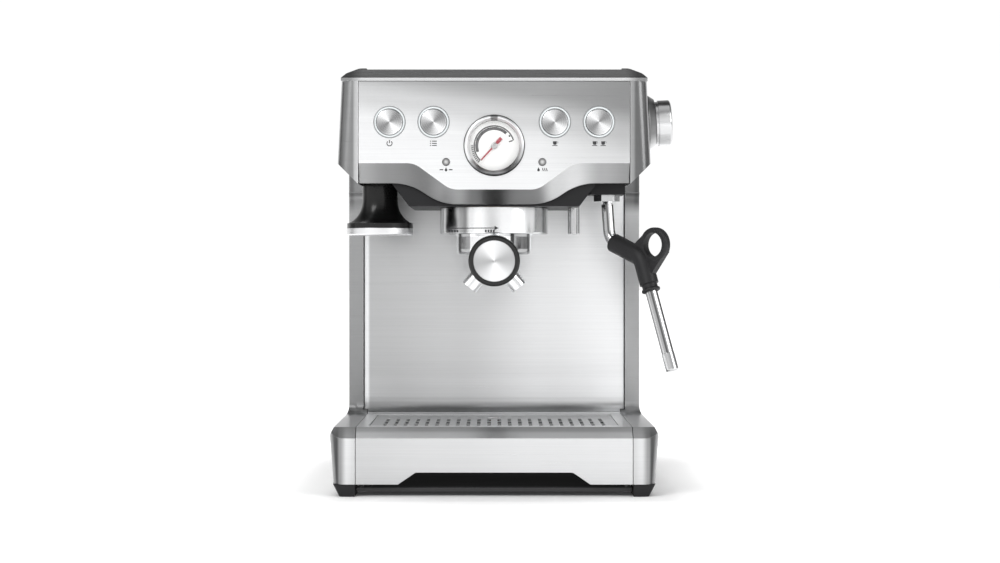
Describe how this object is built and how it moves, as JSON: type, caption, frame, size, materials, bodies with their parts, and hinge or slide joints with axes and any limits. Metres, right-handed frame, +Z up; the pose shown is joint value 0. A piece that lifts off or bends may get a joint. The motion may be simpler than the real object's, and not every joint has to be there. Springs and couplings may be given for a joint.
{
  "type": "espresso machine",
  "caption": "Home espresso machine with a swinging filter holder, steam wand, pressure gauge, drip tray and rear water tank.",
  "frame": {"origin": "bottom centre of the bounding box, on the counter", "axes": "+X to the right as the user faces the machine, +Y towards the wall, +Z up"},
  "size_m": [0.27, 0.3422, 0.333],
  "materials": {
    "brushed_steel": "horizontally brushed stainless steel",
    "polished_steel": "polished stainless steel",
    "satin_steel": "turned or die-cast metal with a satin plate",
    "fixing_steel": "zinc-plated steel",
    "black_plastic": "glossy black phenolic",
    "dark_plastic": "fine-grained charcoal plastic",
    "lit_ring": "translucent white light guide",
    "lamp_glass": "smoked translucent lamp",
    "gauge_face": "white printed dial",
    "needle_paint": "red paint",
    "clear_lens": "clear flat lens",
    "tank_plastic": "smoked clear plastic",
    "lid_plastic": "glossy dark grey plastic",
    "grip_rubber": "soft charcoal silicone",
    "seal_rubber": "black silicone gasket",
    "nylon": "natural nylon",
    "filter_plastic": "white plastic",
    "float_plastic": "red plastic",
    "brass": "machined brass",
    "cast_aluminium": "die-cast aluminium",
    "pump_plastic": "glass-filled nylon",
    "circuit_board": "green solder mask",
    "silicone": "translucent silicone hose",
    "steel_pipe": "bright steel pipe"
  },
  "bodies": {
    "housing": {"side_panel_left": "brushed_steel", "side_panel_right": "brushed_steel", "fascia": "brushed_steel", "top_deck": "brushed_steel", "splashback": "brushed_steel", "warming_plate": "brushed_steel", "gauge_bezel": "polished_steel", "hot_water_outlet": "polished_steel", "wand_socket": "polished_steel", "shower_screen": "polished_steel", "group_collar": "satin_steel", "dial_surround": "satin_steel", "head_frame": "fixing_steel", "housing_screws": "fixing_steel", "pump_mounts": "fixing_steel", "feet": "dark_plastic", "base_pan": "dark_plastic", "head_under_cover": "dark_plastic", "rear_housing": "dark_plastic", "cord_gland": "dark_plastic", "gauge_case": "dark_plastic", "button_rings": "lit_ring", "indicator_lamps": "lamp_glass", "gauge_dial": "gauge_face", "gauge_lens": "clear_lens", "group_seal": "seal_rubber", "flow_meter": "nylon", "group_block": "brass", "steam_valve": "brass", "thermocoil": "cast_aluminium", "pump": "pump_plastic", "solenoid_valve": "pump_plastic", "control_board": "circuit_board", "water_hoses": "silicone", "pressure_pipes": "steel_pipe"},
    "tray": {"tray_cover": "brushed_steel", "tray_dish": "dark_plastic"},
    "grate": {"drip_grate": "brushed_steel"},
    "float": {"tray_float": "float_plastic"},
    "tank": {"water_tank": "tank_plastic", "tank_valve": "nylon", "filter_holder": "filter_plastic"},
    "lid": {"tank_lid": "lid_plastic"},
    "portafilter": {"portafilter_cup": "polished_steel", "filter_basket": "polished_steel", "portafilter_spout": "polished_steel", "portafilter_handle": "black_plastic", "handle_cap": "satin_steel"},
    "tamper": {"tamper_base": "polished_steel", "tamper_grip": "black_plastic"},
    "wand_swivel_seat": {"wand_seat": "nylon"},
    "wand": {"wand_tube": "polished_steel", "wand_grip": "grip_rubber", "wand_tip": "polished_steel"},
    "dial": {"steam_dial": "satin_steel"},
    "power_key": {"power_button": "satin_steel"},
    "program_key": {"program_button": "satin_steel"},
    "single_cup_key": {"single_cup_button": "satin_steel"},
    "double_cup_key": {"double_cup_button": "satin_steel"},
    "needle": {"gauge_needle": "needle_paint"}
  },
  "joints": [
    {"name": "power_press", "type": "slide", "parent": "housing", "child": "power_key", "axis": [0, 1, 0], "range_m": [0, 0.0015], "stiffness_N_per_m": 700},
    {"name": "program_press", "type": "slide", "parent": "housing", "child": "program_key", "axis": [0, 1, 0], "range_m": [0, 0.0015], "stiffness_N_per_m": 700},
    {"name": "single_cup_press", "type": "slide", "parent": "housing", "child": "single_cup_key", "axis": [0, 1, 0], "range_m": [0, 0.0015], "stiffness_N_per_m": 700},
    {"name": "double_cup_press", "type": "slide", "parent": "housing", "child": "double_cup_key", "axis": [0, 1, 0], "range_m": [0, 0.0015], "stiffness_N_per_m": 700},
    {"name": "needle_turn", "type": "hinge", "parent": "housing", "child": "needle", "pos_m": [-0.00802, -0.10893, 0.2712], "axis": [0, 1, 0], "range_deg": [0, 265], "stiffness_Nm_per_rad": 0.002},
    {"name": "dial_turn", "type": "hinge", "parent": "housing", "child": "dial", "pos_m": [0.11288, -0.05793, 0.2918], "axis": [0.9989, 0, 0.0476], "range_deg": [-60, 60]},
    {"name": "portafilter_twist", "type": "hinge", "parent": "housing", "child": "portafilter", "pos_m": [-0.00802, -0.05293, 0.21], "axis": [0, 0, 1], "range_deg": [-41, 5]},
    {"name": "wand_swivel", "type": "hinge", "parent": "housing", "child": "wand_swivel_seat", "pos_m": [0.08198, -0.07093, 0.233], "axis": [0, 0, 1], "range_deg": [-63, 57]},
    {"name": "wand_tilt", "type": "hinge", "parent": "wand_swivel_seat", "child": "wand", "pos_m": [0.08198, -0.07093, 0.233], "axis": [0.7071, 0.7071, 0], "range_deg": [-12, 12]},
    {"name": "tray_slide", "type": "slide", "parent": "housing", "child": "tray", "axis": [0, -1, 0], "range_m": [0, 0.16]},
    {"name": "grate_lift", "type": "slide", "parent": "tray", "child": "grate", "axis": [0, 0, 1], "range_m": [0, 0.04]},
    {"name": "float_rise", "type": "slide", "parent": "tray", "child": "float", "axis": [0, 0, 1], "range_m": [0, 0.006]},
    {"name": "tank_lift", "type": "slide", "parent": "housing", "child": "tank", "axis": [0, 0, 1], "range_m": [0, 0.15]},
    {"name": "lid_open", "type": "hinge", "parent": "tank", "child": "lid", "pos_m": [-0.00802, 0.16807, 0.324], "axis": [-1, 0, 0], "range_deg": [0, 95]},
    {"name": "tamper_pull", "type": "slide", "parent": "housing", "child": "tamper", "axis": [0, 0, -1], "range_m": [0, 0.045]}
  ]
}
